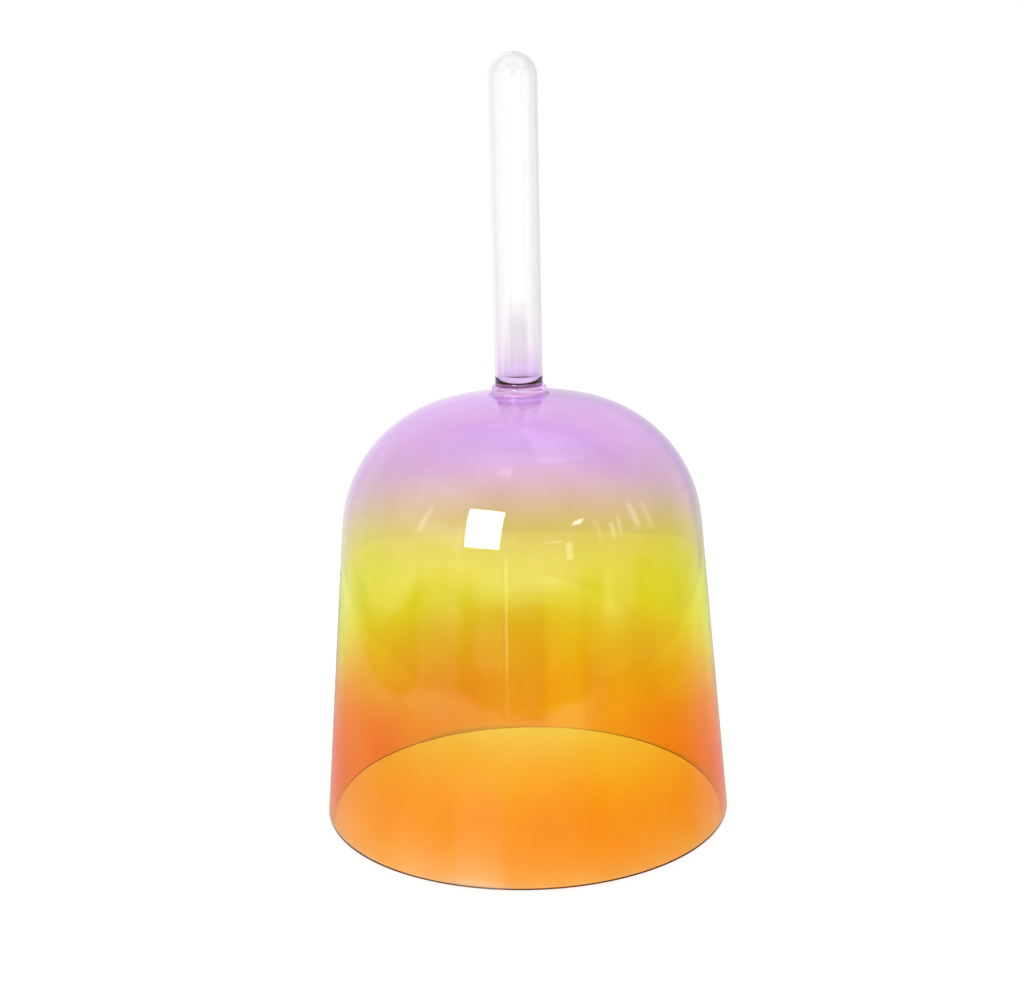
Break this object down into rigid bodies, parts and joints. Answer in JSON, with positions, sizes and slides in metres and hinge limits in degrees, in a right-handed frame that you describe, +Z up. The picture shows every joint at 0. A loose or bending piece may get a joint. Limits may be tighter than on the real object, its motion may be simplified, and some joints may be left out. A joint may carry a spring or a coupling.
{
  "type": "glass hand bell",
  "caption": "Open bell of tinted glass with a domed crown and a closed, clear glass tube as its handle, fused on through a collar.",
  "frame": {"origin": "centre of the rim, on the surface that the bell stands on", "axes": "+Z up along the bell's axis, from the rim to the end of the handle"},
  "size_m": [0.203, 0.203, 0.3705],
  "materials": {
    "tinted_glass": "polished, purple at the crown, yellow in the middle, orange at the rim",
    "joint_glass": "polished, purple",
    "plum_glass": "polished, dark plum",
    "clear_glass": "polished, clear, purple at its foot"
  },
  "bodies": {
    "root": {"bell_shell": "tinted_glass", "crown_weld": "joint_glass", "joint_collar": "joint_glass", "handle_foot_disc": "plum_glass", "handle_tube": "clear_glass"}
  },
  "joints": []
}
